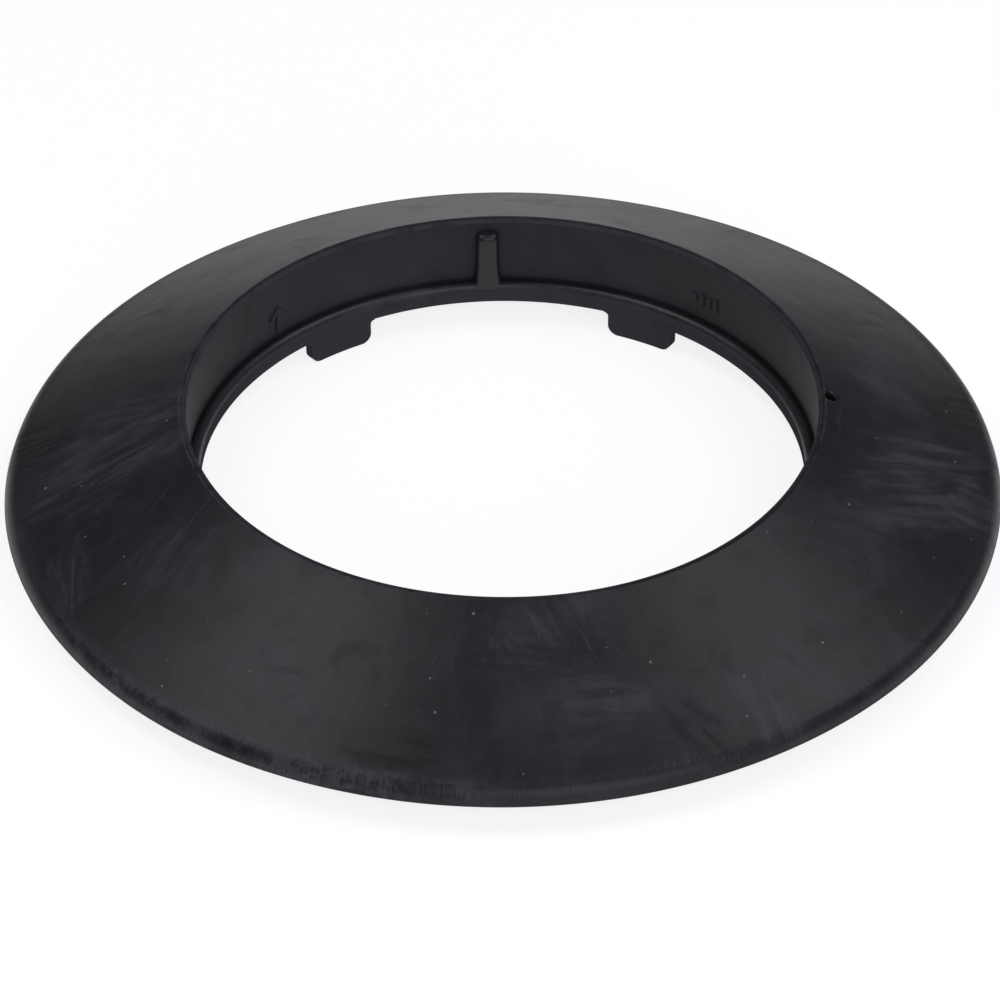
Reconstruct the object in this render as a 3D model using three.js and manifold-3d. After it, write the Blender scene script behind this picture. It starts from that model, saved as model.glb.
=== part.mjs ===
// Toilet flange: a moulded rubber sealing ring for the outlet of a toilet.
// Units are millimetres, +Z is up, and the ring's axis is the Z axis.
// The origin is on that axis in the plane of the tabs' tips, and +Y is the side that carries the key rib.
// Pieces are drawn from the plane of the lip's underside, then raised together by the tabs' length.
import * as THREE from 'three';
import { mergeVertices } from 'three/addons/utils/BufferGeometryUtils.js';
import Module from 'manifold-3d';

const wasm = await Module();
wasm.setup();

// ---------------------------------------------------------------- driving dimensions
const OUTER_R = 85;              // outermost edge of the lip
const LIP_ROUND = 3.2;           // radius of the lip's rounded upper edge
const LIP_CHAMFER = 0.3;         // small chamfer under the lip
const LIP_INNER_R = 78.7;        // where the lip's flat underside ends
const RIM_H = 16.8;              // height of the rim above the lip's underside
const RIM_LAND = 1.2;            // width of the narrow land between the ridge and the inner wall
const RIM_FALL = 0.45;           // how far that land falls towards the wall
const WALL_TOP_R = 53.3;         // inner wall just under the rim
const WALL_FOOT_R = 53.7;        // inner wall at its foot
const COLLAR_OUTER_R = 56.6;     // hidden outer face of the collar
const WEB_THICKNESS = 3;         // thickness of the conical web
const WEB_INNER_R = 57.8;        // where the web starts beside the rim
const COLLAR_FILLET = 1.2;       // hidden fillet between the collar and the web

const SEAT_INNER_R = 51.7;       // bore of the seat ring
const SEAT_H = 3.8;              // top of the seat ring
const SEAT_ROUND = 0.8;          // rounded inner edge of the seat ring
const SEAT_GROOVE = 0.4;         // V-groove between the seat ring and the wall
const FOOT_CHAMFER = 0.3;        // chamfer under the seat ring's bore

const TAB_SPREAD = 31.6;         // degrees from +Y, the key rib's side, to the nearest tabs
const TAB_ANGLES = {             // degrees from +Y, positive towards +X
  locating_tab_rear_left: -TAB_SPREAD,
  locating_tab_rear_right: TAB_SPREAD,
  locating_tab_front_left: TAB_SPREAD - 180,
  locating_tab_front_right: 180 - TAB_SPREAD,
};
const TAB_DROP = 4.6;            // how far the tabs hang below the lip's underside
const TAB_WIDTH = 12.6;
const TAB_THICKNESS = 1.8;
const TAB_CORNER = 2;
const TAB_GAP = 0.45;            // slit that lets each tab swing at its root

const RIB_WIDTH = 4.2;
const RIB_PROUD = 2.2;           // how far the rib stands out from the wall
const RIB_TOP_Z = 14.5;
const RIB_DOME = 1.6;            // height of the rounded top
const DOME_SET_BACK = 0.01;      // keeps the dome's front just behind the post's

const GAP = 0.1;                 // clearance between pieces that touch
const SEGMENTS = 72;             // facets round each ring
const ARC_STEPS = 4;             // straight steps in each rounded edge
const RIB_STEPS = 8;             // straight steps in each quarter of the rib's front
const WELD = 1e-4;               // points closer than this are one point

// ---------------------------------------------------------------- materials
function rubber(color, roughness) {
  return new THREE.MeshStandardMaterial({ color, roughness, metalness: 0 });
}
const SKIRT_RUBBER = 0x2e2f32;
const COLLAR_RUBBER = 0x26272a;
const RIB_RUBBER = 0x292a2d;

// ---------------------------------------------------------------- geometry helpers
const radians = THREE.MathUtils.degToRad;

// Points along an arc in the (radius, z) plane, both ends included.
function arc(centreR, centreZ, radius, fromDeg, toDeg) {
  return Array.from({ length: ARC_STEPS + 1 }, (_, i) => {
    const a = radians(fromDeg + (toDeg - fromDeg) * i / ARC_STEPS);
    return new THREE.Vector2(centreR + radius * Math.cos(a), centreZ + radius * Math.sin(a));
  });
}

// A closed ring: the (radius, z) outline goes anticlockwise and is closed on itself.
function ring(outline) {
  const closed = [...outline, outline[0].clone()];
  const geometry = new THREE.LatheGeometry(closed, SEGMENTS);
  geometry.rotateX(Math.PI / 2);
  return welded(geometry);
}

// The same surface with shared vertices, position only.
function welded(geometry) {
  const plain = geometry.index ? geometry.toNonIndexed() : geometry.clone();
  plain.deleteAttribute('normal');
  plain.deleteAttribute('uv');
  return mergeVertices(plain, WELD);
}

function toSolid(geometry) {
  const shape = welded(geometry);
  return new wasm.Manifold(new wasm.Mesh({
    numProp: 3,
    vertProperties: new Float32Array(shape.attributes.position.array),
    triVerts: new Uint32Array(shape.index.array),
  }));
}

function toGeometry(solid) {
  const mesh = solid.getMesh();
  const geometry = new THREE.BufferGeometry();
  geometry.setAttribute('position', new THREE.BufferAttribute(mesh.vertProperties, 3));
  geometry.setIndex(new THREE.BufferAttribute(mesh.triVerts, 1));
  return geometry;
}

function named(name, geometry, material) {
  geometry.computeVertexNormals();
  const mesh = new THREE.Mesh(geometry, material);
  mesh.name = name;
  return mesh;
}

const point = (r, z) => new THREE.Vector2(r, z);

// ---------------------------------------------------------------- the skirt's outer line
const RIDGE_R = WALL_TOP_R + RIM_LAND;
const lipCentre = point(OUTER_R - LIP_ROUND, LIP_CHAMFER);

// Slope of the line from the rim's ridge that just touches the lip's rounded edge.
function skirtSlopeDeg() {
  const dr = lipCentre.x - RIDGE_R;
  const dz = RIM_H - lipCentre.y;
  const toCentre = Math.atan2(dz, dr);
  const offTangent = Math.asin(LIP_ROUND / Math.hypot(dr, dz));
  return THREE.MathUtils.radToDeg(toCentre - offTangent);
}
const SLOPE = skirtSlopeDeg();
const outerZ = (r) => RIM_H - (r - RIDGE_R) * Math.tan(radians(SLOPE));
const underZ = (r) => outerZ(r) - WEB_THICKNESS / Math.cos(radians(SLOPE));

// ---------------------------------------------------------------- pieces
function sealingLip() {
  const outline = [
    point(LIP_INNER_R, 0),
    point(OUTER_R - LIP_CHAMFER, 0),
    ...arc(lipCentre.x, lipCentre.y, LIP_ROUND, 0, 90 - SLOPE),
    point(LIP_INNER_R, outerZ(LIP_INNER_R)),
  ];
  return named('sealing_lip', ring(outline), rubber(SKIRT_RUBBER, 0.62));
}

function skirtWeb() {
  const outerEnd = LIP_INNER_R - GAP;
  const innerEnd = WEB_INNER_R + GAP;
  const outline = [
    point(innerEnd, underZ(innerEnd)),
    point(outerEnd, underZ(outerEnd)),
    point(outerEnd, outerZ(outerEnd)),
    point(innerEnd, outerZ(innerEnd)),
  ];
  return named('skirt_web', ring(outline), rubber(SKIRT_RUBBER, 0.6));
}

function rimCollar() {
  const filletR = COLLAR_OUTER_R + COLLAR_FILLET;
  const outline = [
    point(WALL_FOOT_R, 0),
    point(COLLAR_OUTER_R, 0),
    ...arc(filletR, underZ(WEB_INNER_R) - COLLAR_FILLET, COLLAR_FILLET, 180, 90),
    point(WEB_INNER_R, outerZ(WEB_INNER_R)),
    point(RIDGE_R, RIM_H),
    point(WALL_TOP_R, RIM_H - RIM_FALL),
    point(WALL_FOOT_R, SEAT_H),
  ];
  return named('rim_collar', ring(outline), rubber(COLLAR_RUBBER, 0.5));
}

function seatRing() {
  const outerR = WALL_FOOT_R - GAP;
  const edgeR = SEAT_INNER_R + SEAT_ROUND;
  const outline = [
    point(SEAT_INNER_R + FOOT_CHAMFER, 0),
    point(outerR, 0),
    point(outerR, SEAT_H - SEAT_GROOVE),
    point(outerR - SEAT_GROOVE, SEAT_H),
    ...arc(edgeR, SEAT_H - SEAT_ROUND, SEAT_ROUND, 90, 180),
    point(SEAT_INNER_R, FOOT_CHAMFER),
  ];
  return named('seat_ring', ring(outline), rubber(COLLAR_RUBBER, 0.4));
}

// The rib's outline in plan, round at the front. It runs on past the wall, where keyRib() cuts it flat.
function ribPlan() {
  const half = RIB_WIDTH / 2;
  const frontY = WALL_TOP_R - RIB_PROUD;
  const backY = WALL_TOP_R + half;
  const plan = new THREE.Shape();
  plan.moveTo(-half, backY);
  plan.lineTo(-half, frontY + half);
  plan.absarc(0, frontY + half, half, Math.PI, 2 * Math.PI, false);
  plan.lineTo(half, backY);
  plan.closePath();
  return plan;
}

function keyRib() {
  const backY = WALL_TOP_R - 2 * GAP;
  const footZ = SEAT_H + GAP;
  const depth = RIB_TOP_Z - RIB_DOME - footZ;
  const post = new THREE.ExtrudeGeometry(ribPlan(), {
    depth,
    bevelEnabled: false,
    curveSegments: RIB_STEPS,
  });
  post.translate(0, 0, footZ);
  const dome = new THREE.SphereGeometry(1, 2 * RIB_STEPS, RIB_STEPS);
  dome.rotateX(Math.PI / 2);
  dome.scale(RIB_WIDTH / 2, RIB_PROUD, RIB_DOME);
  dome.translate(0, WALL_TOP_R + DOME_SET_BACK, RIB_TOP_Z - RIB_DOME);
  const cutDepth = 4 * RIB_PROUD;
  const behindWall = new THREE.BoxGeometry(4 * RIB_WIDTH, cutDepth, 4 * RIM_H);
  behindWall.translate(0, backY + cutDepth / 2, 0);
  const rib = toSolid(post).add(toSolid(dome)).subtract(toSolid(behindWall));
  return named('key_rib', toGeometry(rib), rubber(RIB_RUBBER, 0.35));
}

// Face of one tab, X along the ring and Y down from its root, with rounded lower corners.
function tabFace() {
  const half = TAB_WIDTH / 2;
  const face = new THREE.Shape();
  face.moveTo(-half, -TAB_GAP);
  face.lineTo(-half, -TAB_DROP + TAB_CORNER);
  face.absarc(-half + TAB_CORNER, -TAB_DROP + TAB_CORNER, TAB_CORNER, Math.PI, 1.5 * Math.PI, false);
  face.lineTo(half - TAB_CORNER, -TAB_DROP);
  face.absarc(half - TAB_CORNER, -TAB_DROP + TAB_CORNER, TAB_CORNER, 1.5 * Math.PI, 2 * Math.PI, false);
  face.lineTo(half, -TAB_GAP);
  face.closePath();
  return face;
}

// One tab at +Y: a slice of a thin ring, cut to the tab's face.
function tabGeometry() {
  const band = ring([
    point(SEAT_INNER_R, -2 * TAB_DROP),
    point(SEAT_INNER_R + TAB_THICKNESS, -2 * TAB_DROP),
    point(SEAT_INNER_R + TAB_THICKNESS, TAB_DROP),
    point(SEAT_INNER_R, TAB_DROP),
  ]);
  const cutter = new THREE.ExtrudeGeometry(tabFace(), {
    depth: OUTER_R,
    bevelEnabled: false,
    curveSegments: ARC_STEPS,
  });
  cutter.rotateX(Math.PI / 2);
  cutter.rotateZ(Math.PI);
  return toGeometry(toSolid(band).intersect(toSolid(cutter)));
}

function locatingTab(name, angleDeg) {
  const tab = named(name, tabGeometry(), rubber(COLLAR_RUBBER, 0.45));
  tab.rotation.z = -radians(angleDeg);
  return tab;
}

// ---------------------------------------------------------------- assembly
const raised = new THREE.Group();
raised.position.z = TAB_DROP;
raised.add(sealingLip(), skirtWeb(), rimCollar(), seatRing(), keyRib());
for (const [name, angleDeg] of Object.entries(TAB_ANGLES)) {
  raised.add(locatingTab(name, angleDeg));
}

const flange = new THREE.Group();
flange.add(raised);

export default flange;
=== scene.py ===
import math

import bmesh
import bpy
import numpy as np
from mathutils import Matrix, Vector


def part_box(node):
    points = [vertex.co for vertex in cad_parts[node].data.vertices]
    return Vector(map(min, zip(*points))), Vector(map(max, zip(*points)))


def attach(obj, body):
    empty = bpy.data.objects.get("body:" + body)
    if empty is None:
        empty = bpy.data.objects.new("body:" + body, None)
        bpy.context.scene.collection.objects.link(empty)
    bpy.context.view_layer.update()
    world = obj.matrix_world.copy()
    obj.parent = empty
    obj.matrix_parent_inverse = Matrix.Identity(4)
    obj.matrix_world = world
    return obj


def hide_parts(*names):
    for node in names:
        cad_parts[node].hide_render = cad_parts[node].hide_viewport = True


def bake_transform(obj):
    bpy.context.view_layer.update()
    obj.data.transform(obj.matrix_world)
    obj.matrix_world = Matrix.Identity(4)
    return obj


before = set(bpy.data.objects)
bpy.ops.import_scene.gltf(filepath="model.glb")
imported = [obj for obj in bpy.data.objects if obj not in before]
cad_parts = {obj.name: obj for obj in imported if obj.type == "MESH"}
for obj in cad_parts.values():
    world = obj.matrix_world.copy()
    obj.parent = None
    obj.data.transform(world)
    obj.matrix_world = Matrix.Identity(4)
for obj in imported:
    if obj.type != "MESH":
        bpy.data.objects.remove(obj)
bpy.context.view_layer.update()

MM = 0.001


# ------------------------------------------------------------------ dimensions from the frame
def low_corner(node):
    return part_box(node)[0] / MM


def high_corner(node):
    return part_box(node)[1] / MM


BASE_Z = low_corner("sealing_lip").z      # plane of the lip's underside
OUTER_R = high_corner("sealing_lip").x    # outermost edge of the lip
RIM_Z = high_corner("rim_collar").z       # top of the rim
LEDGE_Z = high_corner("seat_ring").z      # top of the ledge
SEAT_OUTER_R = high_corner("seat_ring").x
RIB_TOP_Z = high_corner("key_rib").z

# ------------------------------------------------------------------ driving dimensions, mm
LIP_ROUND = 3.2
LIP_CHAMFER = 0.3                 # how far the centre of that rounding is above the underside
LIP_INNER_R = 78.7
FLASH = 0.12                      # thin moulding flash left round the lip's edge
FLASH_Z = BASE_Z + 0.45
RIM_LAND = 1.2                    # width of the narrow land inside the ridge
RIM_FALL = 0.45                   # how far that land falls towards the wall
EDGE_ROUND = 0.35                 # rounding of the land's two edges
WALL_TOP_R = 53.3
WALL_FOOT_R = 53.7
COLLAR_OUTER_R = 56.6
WEB_THICKNESS = 3.0
SEAT_INNER_R = 51.7
SEAT_ROUND = 1.4
CREASE_DEPTH = 0.14
CREASE_HEIGHT = 0.4
RIDGE_R = WALL_TOP_R + RIM_LAND
LAND_SPLIT_R = RIDGE_R - 0.5      # where the skirt's mesh hands over to the collar's
SHARP_DEG = 38                    # edges that turn by more than this are shaded sharp

TAB_SPREAD = 31.6                 # degrees from the Y axis
TAB_WIDTH = 12.6
TAB_THICKNESS = 1.8
TAB_CORNER = 2.0
TAB_ROOT_FILLET = 0.8
TAB_EDGE = 0.5                    # rounding of a tab's edges
TAB_ROOT_INSIDE = 0.4             # how far a tab's root reaches into the ledge ring

RIB_WIDTH = 2 * high_corner("key_rib").x
RIB_DOME = 1.5
RIB_PROUD = 2.1
RIB_FLARE = 0.5                   # extra half width at the foot
RIB_FLARE_PROUD = 0.25            # how much further it stands out there
RIB_FLARE_HEIGHT = 2.4            # how slowly the flare fades upwards
RIB_SQUARENESS = 2 / 2.9          # 1 would make the rib's plan and top true ellipses

SAG = 0.5                         # how far the rim has settled where the rubber sags most
SAG_ANGLE = 150
SAG_SPREAD = 32
RIPPLE = 0.16                     # waviness of the lip
NICK_ANGLE = 93                   # a chip in the rim
NICK_DEPTH = 0.9
NICK_ALONG = 1.15                 # half its length along the rim
NICK_ACROSS = 1.0                 # half its width across the rim
NICK_R = RIDGE_R + 0.9

RELIEF = 0.42                     # how far the mould marks stand out from the inner wall
STROKE = 0.75                     # width of a mould mark's strokes

AROUND = 960                      # quads round each ring
LINE_STEP = 0.7                   # longest edge on a straight stretch of an outline
NEAR_RIDGE_STEP = 0.3             # finer steps beside the ridge, where the chip is
HIDDEN_OVERLAP = 0.8              # how far the skirt's mesh reaches into the collar
ARC_STEP = 0.16                   # longest edge on a rounded corner


# ------------------------------------------------------------------ outlines
def rounded(corners):
    """A closed (radius, z) outline from corners (radius, z, rounding), with even points."""
    count = len(corners)
    stretches = []
    for i, (r, z, rounding) in enumerate(corners):
        here = Vector((r, z))
        back = (Vector(corners[i - 1][:2]) - here).normalized()
        ahead = (Vector(corners[(i + 1) % count][:2]) - here).normalized()
        opening = back.angle(ahead)
        if rounding > 0 and opening < math.pi - 0.01:
            stretches.append(corner_arc(here, back, ahead, opening, rounding))
        else:
            stretches.append([here])
    outline = []
    for i, stretch in enumerate(stretches):
        outline.extend(stretch)
        first, last = stretch[-1], stretches[(i + 1) % count][0]
        steps = math.ceil((last - first).length / LINE_STEP)
        outline.extend(first.lerp(last, k / steps) for k in range(1, steps))
    return np.array([(p.x, p.y) for p in outline])


def corner_arc(corner, back, ahead, opening, radius):
    """The arc that rounds off a corner between the directions back and ahead."""
    centre = corner + (back + ahead).normalized() * (radius / math.sin(opening / 2))
    spoke = corner + back * (radius / math.tan(opening / 2)) - centre
    to_corner = corner - centre
    turn = math.pi - opening
    if spoke.x * to_corner.y < spoke.y * to_corner.x:
        turn = -turn
    steps = max(2, math.ceil(abs(turn) * radius / ARC_STEP))
    arc = []
    for k in range(steps + 1):
        c, s = math.cos(turn * k / steps), math.sin(turn * k / steps)
        arc.append(centre + Vector((spoke.x * c - spoke.y * s, spoke.x * s + spoke.y * c)))
    return arc


def skirt_angle():
    """Slope of the skirt, from the ridge down to where it touches the lip's rounding."""
    dr = OUTER_R - LIP_ROUND - RIDGE_R
    dz = RIM_Z - BASE_Z - LIP_CHAMFER
    return math.atan2(dz, dr) - math.asin(LIP_ROUND / math.hypot(dr, dz))


SLOPE = skirt_angle()


def skirt_z(r):
    return RIM_Z - (r - RIDGE_R) * math.tan(SLOPE)


def land_z(r):
    return RIM_Z - (RIDGE_R - r) * RIM_FALL / RIM_LAND


def under_z(r):
    return skirt_z(r) - WEB_THICKNESS / math.cos(SLOPE)


# ------------------------------------------------------------------ mesh helpers
def new_object(name, vertices_mm, faces):
    mesh = bpy.data.meshes.new(name)
    mesh.from_pydata((np.asarray(vertices_mm) * MM).tolist(), [], faces)
    mesh.validate()
    work = bmesh.new()
    work.from_mesh(mesh)
    bmesh.ops.recalc_face_normals(work, faces=work.faces)
    work.to_mesh(mesh)
    work.free()
    obj = bpy.data.objects.new(name, mesh)
    bpy.context.scene.collection.objects.link(obj)
    mesh.polygons.foreach_set("use_smooth", [True] * len(mesh.polygons))
    mesh.set_sharp_from_angle(angle=math.radians(SHARP_DEG))
    return obj


def bell(x):
    """1 at 0, fading away smoothly by 2."""
    return np.exp(-x * x)


def angle_from(a, degrees):
    """The angle from a direction to a, between -pi and pi."""
    return (a - math.radians(degrees) + math.pi) % (2 * math.pi) - math.pi


def worn(r, z, a):
    """The height of a ring's surface with the unevenness of moulded and handled rubber."""
    high = np.clip((z - LEDGE_Z) / (RIM_Z - LEDGE_Z), 0, 1)
    outward = np.clip((r - RIDGE_R) / (OUTER_R - RIDGE_R), 0, 1)
    sag = SAG * bell(angle_from(a, SAG_ANGLE) / math.radians(SAG_SPREAD))
    ripple = RIPPLE * (0.6 * np.sin(3 * a + 0.6) + 0.4 * np.sin(7 * a + 2.1))
    from_nick = np.hypot(angle_from(a, NICK_ANGLE) * r / NICK_ALONG, (r - NICK_R) / NICK_ACROSS)
    nick = NICK_DEPTH * np.exp(-from_nick ** 4) * (high > 0.8)
    return z - sag * high - nick + ripple * outward ** 2


def lathe(name, outline):
    """Turns an anticlockwise (radius, z) outline round the axis into a closed ring."""
    n = len(outline)
    angle = np.arange(AROUND) * 2 * math.pi / AROUND
    a, r = np.meshgrid(angle, outline[:, 0], indexing="ij")
    z = worn(r, np.tile(outline[:, 1], (AROUND, 1)), a)
    vertices = np.stack([r * np.sin(a), r * np.cos(a), z], axis=-1).reshape(-1, 3)
    faces = []
    for i in range(AROUND):
        here = i * n
        ahead = (i + 1) % AROUND * n
        for j in range(n):
            k = (j + 1) % n
            faces.append((here + j, here + k, ahead + k, ahead + j))
    return new_object(name, vertices, faces)


def bevelled(obj, width_mm, limit_deg=50):
    """The object with its sharp edges rounded."""
    bevel = obj.modifiers.new("bevel", "BEVEL")
    bevel.width = width_mm * MM
    bevel.segments = 3
    bevel.limit_method = "ANGLE"
    bevel.angle_limit = math.radians(limit_deg)
    graph = bpy.context.evaluated_depsgraph_get()
    mesh = bpy.data.meshes.new_from_object(obj.evaluated_get(graph))
    obj.modifiers.clear()
    obj.data = mesh
    mesh.polygons.foreach_set("use_smooth", [True] * len(mesh.polygons))
    return obj


# ------------------------------------------------------------------ rings
def skirt():
    """The cone and its rounded lip, hollow underneath."""
    inside_collar = COLLAR_OUTER_R - HIDDEN_OVERLAP
    foot_z = under_z(COLLAR_OUTER_R) - 1.4
    near_ridge = [(r, skirt_z(r), 0) for r in (RIDGE_R + NEAR_RIDGE_STEP * k for k in range(8, 0, -1))]
    return lathe("skirt_and_lip", rounded([
        (LIP_INNER_R, BASE_Z, 0.5),
        (OUTER_R - FLASH, BASE_Z, 0.25),
        (OUTER_R - FLASH, FLASH_Z - 0.12, 0.05),
        (OUTER_R, FLASH_Z - 0.02, 0),
        (OUTER_R, FLASH_Z + 0.02, 0),
        *lip_arc(),
        *near_ridge,
        (RIDGE_R, RIM_Z, EDGE_ROUND),
        (LAND_SPLIT_R, land_z(LAND_SPLIT_R), 0),
        (inside_collar, RIM_Z - 2.5, 0),
        (inside_collar, foot_z, 0),
        (COLLAR_OUTER_R, foot_z, 0),
        (COLLAR_OUTER_R + 0.15, under_z(COLLAR_OUTER_R), 1.2),
        (LIP_INNER_R, under_z(LIP_INNER_R), 1.0),
    ]))


def lip_arc():
    """The lip's rounded upper edge, from just above the flash up to the skirt's slope."""
    steps = 24
    first = math.radians(8)
    last = math.pi / 2 - SLOPE
    centre_r = OUTER_R - LIP_ROUND - FLASH
    centre_z = BASE_Z + LIP_CHAMFER
    turns = [first + (last - first) * k / steps for k in range(steps + 1)]
    return [(centre_r + LIP_ROUND * math.cos(t), centre_z + LIP_ROUND * math.sin(t), 0) for t in turns]


def collar():
    """The rim, the inner wall with the crease at its foot, and the hidden outer wall."""
    inside_skirt = RIDGE_R + 1.2
    return lathe("rim_and_wall", rounded([
        (SEAT_OUTER_R - 0.02, BASE_Z, 0),
        (COLLAR_OUTER_R, BASE_Z, 0.5),
        (COLLAR_OUTER_R, under_z(COLLAR_OUTER_R) - 0.4, 0),
        (inside_skirt, RIM_Z - 2.4, 0),
        (LAND_SPLIT_R, land_z(LAND_SPLIT_R), 0),
        (WALL_TOP_R, land_z(WALL_TOP_R), EDGE_ROUND),
        (WALL_FOOT_R - 0.05, LEDGE_Z + CREASE_HEIGHT, 0.35),
        (WALL_FOOT_R + CREASE_DEPTH, LEDGE_Z + CREASE_HEIGHT * 0.3, 0.2),
        (WALL_FOOT_R + CREASE_DEPTH, LEDGE_Z - 0.5, 0.2),
        (SEAT_OUTER_R - 0.02, LEDGE_Z - 0.5, 0),
    ]))


def ledge():
    """The ring below the crease, with a soft outer edge and a well rounded bore edge."""
    return lathe("ledge_ring", rounded([
        (SEAT_INNER_R, BASE_Z, 0.3),
        (SEAT_OUTER_R, BASE_Z, 0.05),
        (SEAT_OUTER_R, LEDGE_Z - 0.14, 0.1),
        (SEAT_OUTER_R - 0.35, LEDGE_Z, 0.25),
        (SEAT_INNER_R, LEDGE_Z - 0.04, SEAT_ROUND),
    ]))


# ------------------------------------------------------------------ rib, tabs and mould marks
def wall_r(z):
    """Radius of the inner wall at a height."""
    return WALL_FOOT_R + (WALL_TOP_R - WALL_FOOT_R) * (z - LEDGE_Z) / (RIM_Z - LEDGE_Z)


def squared(x):
    """Pulls a sine or cosine towards 1, which makes a round form boxier."""
    return np.sign(x) * np.abs(x) ** RIB_SQUARENESS


def rib():
    """The upright rib: a rounded post against the wall with a domed top and a flared foot."""
    columns, dome_rows = 41, 18
    foot_z = LEDGE_Z - 0.9
    dome_z = RIB_TOP_Z - RIB_DOME
    shaft = np.linspace(foot_z, dome_z, 40, endpoint=False)
    climb = np.linspace(0, 0.985, dome_rows) * math.pi / 2
    height = np.concatenate([shaft, dome_z + RIB_DOME * squared(np.sin(climb))])
    pinch = np.concatenate([np.ones(len(shaft)), squared(np.cos(climb))])
    flare = np.exp(-np.clip(height - LEDGE_Z, 0, None) / RIB_FLARE_HEIGHT)
    half = RIB_WIDTH / 2 * pinch + RIB_FLARE * flare
    proud = RIB_PROUD * pinch + RIB_FLARE_PROUD * flare
    t = np.linspace(0, math.pi, columns)
    x = np.outer(half, squared(np.cos(t)))
    y = wall_r(height)[:, None] - np.outer(proud, squared(np.sin(t)))
    y[:, 0] = y[:, -1] = WALL_FOOT_R + 0.8
    z = np.repeat(height, columns).reshape(x.shape)
    rows = len(height)
    faces = []
    for i in range(rows - 1):
        for j in range(columns):
            k = (j + 1) % columns
            here, above = i * columns, (i + 1) * columns
            faces.append((here + j, above + j, above + k, here + k))
    faces.append(tuple(range(columns)))
    faces.append(tuple(reversed(range((rows - 1) * columns, rows * columns))))
    return new_object("rib_post", np.stack([x, y, z], axis=-1).reshape(-1, 3), faces)


def tab(name, angle_deg):
    """A tab at angle_deg: a curved tongue with rounded lower corners and small root fillets."""
    rows, columns, corner_rows = 40, 48, 14
    drop = BASE_Z
    straight = drop - TAB_CORNER
    depth = np.concatenate([
        [-TAB_ROOT_INSIDE],
        np.linspace(0, straight, rows - corner_rows - 1, endpoint=False),
        straight + TAB_CORNER * np.sin(np.linspace(0, 1, corner_rows) * math.pi / 2)])
    into_root = np.clip(1 - depth / TAB_ROOT_FILLET, 0, 1)
    into_corner = np.clip((depth - straight) / TAB_CORNER, 0, 1)
    half = TAB_WIDTH / 2 + TAB_ROOT_FILLET * (1 - np.sqrt(1 - into_root ** 2))
    half -= TAB_CORNER * (1 - np.sqrt(1 - into_corner ** 2))
    half[0] = half[1]
    along = np.outer(half, np.linspace(-1, 1, columns))
    z = np.repeat(drop - depth, columns).reshape(rows, columns)
    a = math.radians(angle_deg) + along / SEAT_INNER_R
    layers = [np.stack([radius * np.sin(a), radius * np.cos(a), z], axis=-1).reshape(-1, 3)
              for radius in (SEAT_INNER_R, SEAT_INNER_R + TAB_THICKNESS)]
    size = rows * columns
    faces = []
    for i in range(rows - 1):
        for j in range(columns - 1):
            p = i * columns + j
            faces.append((p, p + 1, p + columns + 1, p + columns))
            faces.append((size + p, size + p + columns, size + p + columns + 1, size + p + 1))
    border = [(0, j) for j in range(columns)]
    border += [(i, columns - 1) for i in range(1, rows)]
    border += [(rows - 1, j) for j in range(columns - 2, -1, -1)]
    border += [(i, 0) for i in range(rows - 2, 0, -1)]
    loop = [i * columns + j for i, j in border]
    for p, q in zip(loop, loop[1:] + loop[:1]):
        faces.append((q, p, size + p, size + q))
    return bevelled(new_object(name, np.concatenate(layers), faces), TAB_EDGE)


def mould_mark(name, angle_deg, middle_z, lines):
    """Raised strokes on the inner wall. Each line is (x, y, x, y) in mm about the mark's middle."""
    end_steps = 10
    layers = ((0.0, -0.4), (0.0, RELIEF - 0.1), (0.07, RELIEF))
    vertices, faces = [], []
    for x0, y0, x1, y1 in lines:
        heading = math.atan2(y1 - y0, x1 - x0)
        loop = []
        for x, y, start in ((x1, y1, -math.pi / 2), (x0, y0, math.pi / 2)):
            loop.extend((x, y, heading + start + math.pi * k / end_steps) for k in range(end_steps + 1))
        base, n = len(vertices), len(loop)
        for inset, proud in layers:
            reach = STROKE / 2 - inset
            for x, y, t in loop:
                z = middle_z + y + reach * math.sin(t)
                a = math.radians(angle_deg) + (x + reach * math.cos(t)) / WALL_FOOT_R
                r = wall_r(z) - proud
                vertices.append((r * math.sin(a), r * math.cos(a), z))
        for layer in range(len(layers) - 1):
            here, above = base + layer * n, base + (layer + 1) * n
            for j in range(n):
                k = (j + 1) % n
                faces.append((here + j, here + k, above + k, above + j))
        faces.append(tuple(reversed(range(base, base + n))))
        faces.append(tuple(range(base + (len(layers) - 1) * n, base + len(layers) * n)))
    return new_object(name, vertices, faces)


def plain_arrow():
    """A plain moulded arrow that points up the wall."""
    return mould_mark("mould_arrow", -45.5, LEDGE_Z + 3.7, (
        (0, -2.4, 0, 2.4), (0, 2.4, -1.7, 0.6), (0, 2.4, 1.7, 0.6)))


def plain_bars():
    """A row of plain moulded bars."""
    heights = (0.5, 1.1, 0.8, 1.1)
    return mould_mark("mould_bars", 45.7, LEDGE_Z + 4.6, tuple(
        (1.6 * i - 2.4, -h, 1.6 * i - 2.4, h) for i, h in enumerate(heights)))


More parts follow.
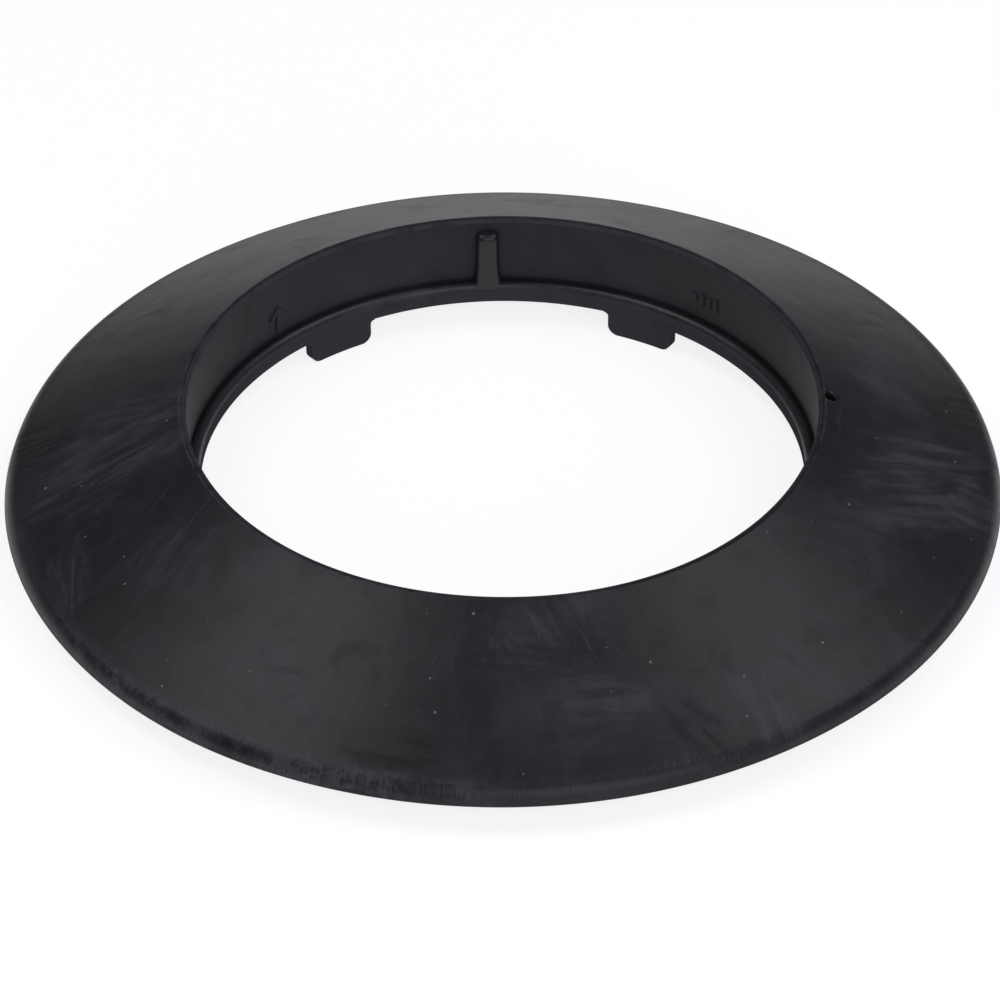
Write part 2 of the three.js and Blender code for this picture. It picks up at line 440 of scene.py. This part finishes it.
# ------------------------------------------------------------------ materials
class Nodes:
    """A small helper that adds and links shader nodes."""

    def __init__(self, name):
        self.material = bpy.data.materials.new(name)
        self.material.use_nodes = True
        self.tree = self.material.node_tree
        self.tree.nodes.clear()

    def add(self, kind, values=None, **settings):
        node = self.tree.nodes.new("ShaderNode" + kind)
        for key, value in settings.items():
            setattr(node, key, value)
        for key, value in (values or {}).items():
            if isinstance(value, bpy.types.NodeSocket):
                self.tree.links.new(value, node.inputs[key])
            else:
                node.inputs[key].default_value = value
        return node

    def math(self, operation, a, b=0.0):
        return self.add("Math", {0: a, 1: b}, operation=operation).outputs[0]

    def sum(self, *terms):
        total = terms[0]
        for term in terms[1:]:
            total = self.math("ADD", total, term)
        return total

    def product(self, *terms):
        total = terms[0]
        for term in terms[1:]:
            total = self.math("MULTIPLY", total, term)
        return total

    def vector(self, x, y, z):
        return self.add("CombineXYZ", {0: x, 1: y, 2: z}).outputs[0]

    def noise(self, vector, scale, detail=3.0, roughness=0.5, distortion=0.0):
        node = self.add("TexNoise", {
            "Vector": vector, "Scale": scale, "Detail": detail,
            "Roughness": roughness, "Distortion": distortion})
        return node.outputs["Fac"]

    def step(self, value, low, high):
        """0 at low, 1 at high, smooth between."""
        node = self.add("MapRange", {"Value": value, "From Min": low, "From Max": high},
                        interpolation_type="SMOOTHSTEP")
        return node.outputs[0]

    def near(self, value, middle, reach):
        """1 where value is middle, 0 from reach away."""
        away = self.math("ABSOLUTE", self.math("SUBTRACT", value, middle))
        return self.step(away, reach, 0)

    def mix(self, factor, a, b):
        node = self.add("Mix", data_type="RGBA")
        for socket, value in ((node.inputs[0], factor), (node.inputs[6], a), (node.inputs[7], b)):
            if isinstance(value, bpy.types.NodeSocket):
                self.tree.links.new(value, socket)
            else:
                socket.default_value = value
        return node.outputs[2]


# Rubbed places on the skirt: angle and radius of the middle, turn of the strokes from the
# radial direction, half width across the strokes, half length along them, and strength.
SMUDGES = (
    (-96, 66, 8, 12, 18, 0.6),
    (-88, 61, -14, 8, 12, 0.5),
    (-112, 78, 70, 4, 9, 0.6),
    (-122, 66, 20, 9, 8, 0.35),
    (-150, 74, 60, 5, 12, 0.4),
    (178, 60, 30, 12, 5, 0.45),
    (170, 71, 82, 4, 10, 0.45),
    (152, 78, -12, 6, 7, 0.65),
    (145, 76, 24, 4, 7, 0.5),
    (98, 74, 25, 6, 11, 0.8),
    (108, 70, 40, 10, 12, 0.6),
    (86, 68, -30, 5, 8, 0.5),
    (104, 80, 0, 6, 6, 0.9),
    (120, 66, 10, 8, 8, 0.3),
)
# Darker, duller places: the same values.
DULL_PLACES = (
    (-85, 80, 0, 8, 9, 0.6),
    (-108, 73, 0, 6, 5, 0.4),
    (85, 80, 10, 7, 9, 0.5),
    (94, 82, 0, 3, 6, 0.4),
    (-165, 79, 84, 4, 12, 0.5),
    (160, 79, 30, 5, 8, 0.45),
    (180, 64, 85, 6, 10, 0.35),
)
# Fine scratches: angle, radius, turn from the radial direction, half length and strength.
SCRATCHES = (
    (172, 60, 25, 9, 0.9),
    (168, 62, 38, 7, 0.6),
    (178, 59, 12, 6, 0.6),
    (-176, 61, -28, 8, 0.7),
    (-168, 64, -40, 6, 0.5),
    (-118, 58, 15, 9, 0.8),
    (-110, 60, 22, 6, 0.6),
    (88, 62, 60, 8, 0.7),
    (96, 57.5, 80, 7, 0.9),
    (100, 56.5, 86, 9, 0.7),
    (84, 72, 70, 11, 0.5),
    (-60, 66, 50, 8, 0.4),
    (40, 64, 30, 9, 0.4),
    (140, 62, 45, 7, 0.5),
)
SCRATCH_WIDTH = 0.16              # half width
SCRATCH_STRENGTH = 0.45
SMUDGE_STRENGTH = 1.3
FLOOR_GLOW = 0.84                 # what the camera sees of the floor's own light
FLOOR_BOUNCE = 0.66               # what the ring gets of it


class Rubber:
    """Moulded black rubber."""

    def __init__(self, name, base, pale, roughness, shine):
        self.n = n = Nodes(name)
        self.base, self.pale, self.roughness, self.shine = base, pale, roughness, shine
        place = n.add("TexCoord").outputs["Object"]
        self.mm = n.add("VectorMath", {0: place, 1: (1 / MM, 1 / MM, 1 / MM)},
                        operation="MULTIPLY").outputs[0]
        split = n.add("SeparateXYZ", {0: self.mm})
        x, y, self.z = split.outputs
        self.radius = n.math("SQRT", n.sum(n.product(x, x), n.product(y, y)))
        self.east, self.north = n.math("DIVIDE", x, self.radius), n.math("DIVIDE", y, self.radius)
        self.haze, self.dark, self.torn, self.matt, self.height = [], [], [0.0], [0.0], []

    def moulded_skin(self, mottle):
        """Cloudy bloom, a soft swell and a fine grain."""
        n = self.n
        self.haze.append(n.product(n.step(n.noise(self.mm, 0.05, 5, 0.6, 0.5), 0.45, 0.75), mottle))
        self.haze.append(n.product(n.step(n.noise(self.mm, 0.9, 4, 0.7), 0.5, 0.8), mottle * 0.35))
        self.dark.append(n.product(n.step(n.noise(self.mm, 0.12, 4, 0.6, 0.8), 0.52, 0.7), mottle * 0.5))
        self.height.append(n.product(n.noise(self.mm, 3.2, 3, 0.6), 0.016))
        self.height.append(n.product(n.noise(self.mm, 0.14, 2, 0.5), 0.12))

    def wiped(self, strength):
        """Faint radial wipe marks all round."""
        n = self.n
        fan = n.vector(n.product(self.east, 30), n.product(self.north, 30), n.product(self.radius, 0.06))
        self.haze.append(n.product(n.step(n.noise(fan, 1.0, 5, 0.62, 0.4), 0.5, 0.78), strength))

    def dust(self, spacing, amount, dimensions="3D"):
        """Sparse pale specks of different sizes. On a flat-lying face they are laid out in plan."""
        n = self.n
        cells = n.add("TexVoronoi", {"Vector": self.mm, "Scale": 1 / spacing},
                      voronoi_dimensions=dimensions)
        seed = n.add("SeparateColor", {0: cells.outputs["Color"]})
        size = n.math("ADD", n.product(seed.outputs[1], seed.outputs[1], 0.02), 0.006)
        there = n.step(seed.outputs[0], 1 - amount, 1.001 - amount)
        inside = n.step(n.math("SUBTRACT", cells.outputs["Distance"], size), 0.02, 0)
        self.specks = n.product(inside, there)
        self.height.append(n.product(self.specks, 0.08))

    def wavy(self):
        """The position, pushed about a little, so that lines drawn with it aren't straight."""
        n = self.n
        push = n.add("TexNoise", {"Vector": self.mm, "Scale": 0.11, "Detail": 2.0}).outputs["Color"]
        centred = n.add("VectorMath", {0: push, 1: (0.5, 0.5, 0.5)}, operation="SUBTRACT").outputs[0]
        scaled = n.add("VectorMath", {0: centred, 1: (5, 5, 0)}, operation="MULTIPLY").outputs[0]
        return n.add("VectorMath", {0: self.mm, 1: scaled}, operation="ADD").outputs[0]

    def local(self, position, angle, radius, turn, across, along):
        """Distance and coordinates about a place: 1 at the half width and at the half length."""
        a = math.radians(angle)
        frame_xy = self.n.add("Mapping", {
            "Vector": position,
            "Location": (radius * math.sin(a), radius * math.cos(a), 0),
            "Rotation": (0, 0, math.radians(turn) - a),
            "Scale": (across, along, 1000)}, vector_type="TEXTURE").outputs[0]
        far = self.n.add("VectorMath", {0: frame_xy}, operation="LENGTH").outputs["Value"]
        return far, frame_xy

    def ragged(self):
        return self.n.product(self.n.math("SUBTRACT", self.n.noise(self.mm, 0.16, 4, 0.6), 0.5), 1.6)

    def strokes(self, place, ragged):
        """A rubbed place: a soft-edged patch made of strokes."""
        n = self.n
        angle, radius, turn, across, along, strength = place
        far, frame_xy = self.local(self.mm, angle, radius, turn, across, along)
        inside = n.step(n.math("ADD", far, ragged), 1.15, 0.35)
        lines = n.add("Mapping", {
            "Vector": frame_xy, "Location": (angle, radius, 0),
            "Scale": (across * 0.55, along * 0.07, 1)}).outputs[0]
        texture = n.step(n.noise(lines, 1.0, 5, 0.65, 0.5), 0.40, 0.64)
        return n.product(inside, n.math("ADD", n.product(texture, 0.85), 0.15), strength * SMUDGE_STRENGTH)

    def scratches(self, places):
        n = self.n
        lines = []
        wavy = self.wavy()
        for angle, radius, turn, along, strength in places:
            far, _ = self.local(wavy, angle, radius, turn, SCRATCH_WIDTH, along)
            lines.append(n.product(n.step(far, 1.0, 0.4), strength * SCRATCH_STRENGTH))
        line = n.sum(*lines)
        self.haze.append(line)
        self.height.append(n.product(line, -0.03))

    def nick(self):
        """The chip's torn inside is darker and duller than the moulded skin."""
        far, _ = self.local(self.mm, NICK_ANGLE, NICK_R, 0, NICK_ALONG, NICK_ACROSS)
        self.torn.append(self.n.step(far, 1.15, 0.8))

    def matt_and_painted_reflection_below(self, z, fade):
        """The bore's face and the tabs don't shine, and a paler colour is painted on them: a painted
        reflection of the floor.
        """
        lower = self.n.step(self.z, z, z - fade)
        self.matt.append(lower)
        # paler colour below the ledge: a painted reflection of the floor
        self.haze.append(lower)

    def painted_highlight_line(self, radius, z, reach, strength):
        """A pale, broken line painted along an edge of the ring: a painted highlight where the edge
        catches the light, not wear.
        """
        n = self.n
        on_edge = n.product(n.near(self.radius, radius, reach), n.near(self.z, z, reach))
        broken = n.step(n.noise(self.mm, 0.35, 3, 0.6), 0.3, 0.62)
        self.haze.append(n.product(on_edge, broken, strength))

    def trimmed_lip(self, angle, spread, strength):
        """Fine radial marks round the lip where the flash was trimmed, strongest at one side."""
        n = self.n
        on_lip = n.step(self.radius, OUTER_R - 3.4, OUTER_R - 1.6)
        teeth = n.noise(n.vector(n.product(self.east, 210), n.product(self.north, 210), 0.0), 1.0, 3, 0.6)
        patchy = n.step(n.noise(self.mm, 0.11, 4, 0.65, 0.6), 0.36, 0.62)
        here = math.radians(angle)
        toward = n.sum(n.product(self.east, math.sin(here)), n.product(self.north, math.cos(here)))
        scuffed = n.step(toward, math.cos(math.radians(spread)), math.cos(math.radians(spread * 0.4)))
        amount = n.math("ADD", n.product(scuffed, strength), 0.22)
        mottled = n.step(n.noise(self.mm, 0.8, 5, 0.7), 0.4, 0.66)
        marks = n.math("ADD", n.product(n.step(teeth, 0.3, 0.68), 0.35), n.product(mottled, 0.65))
        self.haze.append(n.product(on_lip, marks, patchy, amount))
        self.height.append(n.product(on_lip, teeth, 0.1))

    def finish(self):
        n = self.n
        # pale colour: real bloom, wipes, rubs, scratches and lip marks, together with painted highlights
        # along edges and a painted floor reflection below the ledge
        haze = n.math("MINIMUM", n.sum(*self.haze), 1.0)
        dark = n.math("MINIMUM", n.sum(*self.dark), 1.0)
        colour = n.mix(haze, (*self.base, 1), (*self.pale, 1))
        colour = n.mix(dark, colour, (*[c * 0.55 for c in self.base], 1))
        torn = n.sum(*self.torn)
        colour = n.mix(torn, colour, (0.004, 0.004, 0.004, 1))
        colour = n.mix(self.specks, colour, (0.17, 0.17, 0.17, 1))
        rough = n.sum(n.product(haze, 0.1), n.product(dark, 0.16), self.roughness)
        shine = n.math("SUBTRACT", self.shine, n.product(dark, self.shine * 0.4))
        matt = n.math("MINIMUM", n.sum(torn, *self.matt), 1.0)
        shine = n.product(shine, n.math("SUBTRACT", 1.0, matt))
        relief = n.add("Bump", {"Height": n.sum(*self.height), "Distance": MM}).outputs[0]
        shader = n.add("BsdfPrincipled", {
            "Base Color": colour, "Roughness": rough, "Specular IOR Level": shine, "Normal": relief})
        n.add("OutputMaterial", {"Surface": shader.outputs[0]})
        return n.material


def skirt_rubber():
    """The skirt's rubber: rubbed and dull places, scratches, and a trimmed and scuffed lip."""
    rubber = Rubber("skirt_rubber", (0.0088, 0.0092, 0.0118), (0.043, 0.045, 0.054), 0.38, 0.34)
    rubber.moulded_skin(0.44)
    rubber.wiped(0.2)
    rubber.dust(7.0, 0.16, "2D")
    rubber.nick()
    ragged = rubber.ragged()
    rubber.haze.extend(rubber.strokes(place, ragged) for place in SMUDGES)
    rubber.dark.extend(rubber.strokes(place, ragged) for place in DULL_PLACES)
    rubber.scratches(SCRATCHES)
    # painted highlight: a pale line along the ridge
    rubber.painted_highlight_line(RIDGE_R, RIM_Z, 0.4, 1.0)
    rubber.trimmed_lip(-146, 34, 1.8)
    return rubber.finish()


def collar_rubber():
    rubber = Rubber("collar_rubber", (0.0255, 0.0262, 0.029), (0.046, 0.047, 0.055), 0.56, 0.13)
    rubber.moulded_skin(0.4)
    rubber.dust(5.0, 0.25)
    # painted highlights: a paler band across the rim's land and a light line along the wall's top edge
    rubber.painted_highlight_line(RIDGE_R - RIM_LAND / 2, land_z(RIDGE_R - RIM_LAND / 2), 1.0, 0.9)
    rubber.painted_highlight_line(WALL_TOP_R, RIM_Z - RIM_FALL, 0.3, 1.0)
    return rubber.finish()


def seat_rubber():
    rubber = Rubber("seat_rubber", (0.0125, 0.013, 0.0148), (0.041, 0.0425, 0.048), 0.34, 0.40)
    rubber.moulded_skin(0.35)
    rubber.dust(7.0, 0.2)
    # painted reflection: paler colour on the bore's face and the tabs, with their shine taken off
    rubber.matt_and_painted_reflection_below(LEDGE_Z - 0.5, 0.9)
    # painted highlight: a pale line along the ledge's rounded bore edge
    rubber.painted_highlight_line(SEAT_INNER_R + 0.4, LEDGE_Z - 0.4, 0.7, 0.5)
    return rubber.finish()


def pale_floor():
    """Near-white to the camera, so that shadows stay faint, and dimmer in the ring's reflections."""
    n = Nodes("pale_floor")
    seen = n.add("LightPath").outputs["Is Camera Ray"]
    glow = n.math("ADD", n.product(seen, FLOOR_GLOW - FLOOR_BOUNCE), FLOOR_BOUNCE)
    shader = n.add("BsdfPrincipled", {
        "Base Color": (0.28, 0.28, 0.28, 1), "Roughness": 0.9, "Specular IOR Level": 0.1,
        "Emission Color": (1, 1, 1, 1), "Emission Strength": glow})
    n.add("OutputMaterial", {"Surface": shader.outputs[0]})
    return n.material


# ------------------------------------------------------------------ assembly
def build():
    skirt_skin, collar_skin, seat_skin = skirt_rubber(), collar_rubber(), seat_rubber()

    cone = skirt()
    cone.data.materials.append(skirt_skin)
    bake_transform(cone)
    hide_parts("sealing_lip", "skirt_web")

    for piece, node, skin, slot in (
            (collar(), "rim_collar", collar_skin, "collar_rubber"),
            (ledge(), "seat_ring", seat_skin, "seat_rubber"),
            (rib(), "key_rib", seat_skin, "collar_rubber"),
            (plain_arrow(), None, collar_skin, "collar_rubber"),
            (plain_bars(), None, collar_skin, "collar_rubber")):
        piece.data.materials.append(skin)
        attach(piece, "collar")
        if node:
            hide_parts(node)

    for side, angle in (("rear_left", -TAB_SPREAD), ("rear_right", TAB_SPREAD),
                        ("front_left", TAB_SPREAD - 180), ("front_right", 180 - TAB_SPREAD)):
        tongue = tab("tab_" + side, angle)
        tongue.data.materials.append(seat_skin)
        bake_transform(tongue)
        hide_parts("locating_tab_" + side)


# ------------------------------------------------------------------ stage, light and camera
def stage():
    side, below = 3000, -0.02
    corners = ((-side, -side, below), (side, -side, below), (side, side, below), (-side, side, below))
    floor = new_object("floor", corners, [(0, 1, 2, 3)])
    floor.data.materials.append(pale_floor())


def softbox(name, direction, distance, size, power, color=(1, 1, 1)):
    lamp = bpy.data.lights.new(name, "AREA")
    lamp.size = size
    lamp.energy = power
    lamp.color = color
    obj = bpy.data.objects.new(name, lamp)
    bpy.context.scene.collection.objects.link(obj)
    toward = Vector(direction).normalized()
    obj.location = toward * distance
    obj.rotation_euler = toward.to_track_quat("Z", "Y").to_euler()


def studio():
    """Dim grey surroundings in reflections, near-white to the camera itself."""
    world = bpy.data.worlds.new("studio")
    world.use_nodes = True
    nodes, links = world.node_tree.nodes, world.node_tree.links
    dim = nodes["Background"]
    dim.inputs["Color"].default_value = (0.9, 0.94, 1.0, 1)
    dim.inputs["Strength"].default_value = 0.13
    seen = nodes.new("ShaderNodeBackground")
    seen.inputs["Color"].default_value = (1, 1, 1, 1)
    ray = nodes.new("ShaderNodeLightPath")
    mix = nodes.new("ShaderNodeMixShader")
    links.new(ray.outputs["Is Camera Ray"], mix.inputs[0])
    links.new(dim.outputs[0], mix.inputs[1])
    links.new(seen.outputs[0], mix.inputs[2])
    links.new(mix.outputs[0], nodes["World Output"].inputs["Surface"])
    bpy.context.scene.world = world


def light():
    """Two small softboxes overhead make the patches on the skirt, and a panel fills the front."""
    softbox("softbox_left", (-0.43, 0.09, 0.90), 1.0, 0.45, 1.9)
    softbox("softbox_right", (0.51, 0.10, 0.85), 1.0, 0.45, 1.6)
    softbox("front_panel", (0.24, -0.80, 0.55), 1.3, 1.2, 6.9, (0.92, 0.96, 1.08))
    studio()
    bpy.context.scene.view_settings.view_transform = "Standard"


CAMERA_DISTANCE = 7.7             # in outer radii
CAMERA_ELEVATION = 37.28          # degrees
CAMERA_AZIMUTH = -2.7
CAMERA_ROLL = -0.38
CAMERA_FOCAL = 3.816              # focal length over sensor width
CAMERA_SHIFT = (-0.0028, -0.0265)


def camera():
    """High in front, and slightly to the left of the side opposite the rib."""
    distance = CAMERA_DISTANCE * OUTER_R * MM
    elevation, azimuth, roll = (math.radians(t) for t in (CAMERA_ELEVATION, CAMERA_AZIMUTH, CAMERA_ROLL))
    back = Vector((math.sin(azimuth) * math.cos(elevation),
                   -math.cos(azimuth) * math.cos(elevation), math.sin(elevation)))
    data = bpy.data.cameras.new("camera")
    data.sensor_width = 36
    data.lens = CAMERA_FOCAL * data.sensor_width
    data.shift_x, data.shift_y = CAMERA_SHIFT
    obj = bpy.data.objects.new("camera", data)
    bpy.context.scene.collection.objects.link(obj)
    obj.location = back * distance + Vector((0, 0, BASE_Z * MM))
    obj.rotation_euler = back.to_track_quat("Z", "Y").to_euler()
    obj.rotation_euler.rotate_axis("Z", roll)
    bpy.context.scene.camera = obj


build()
stage()
light()
camera()
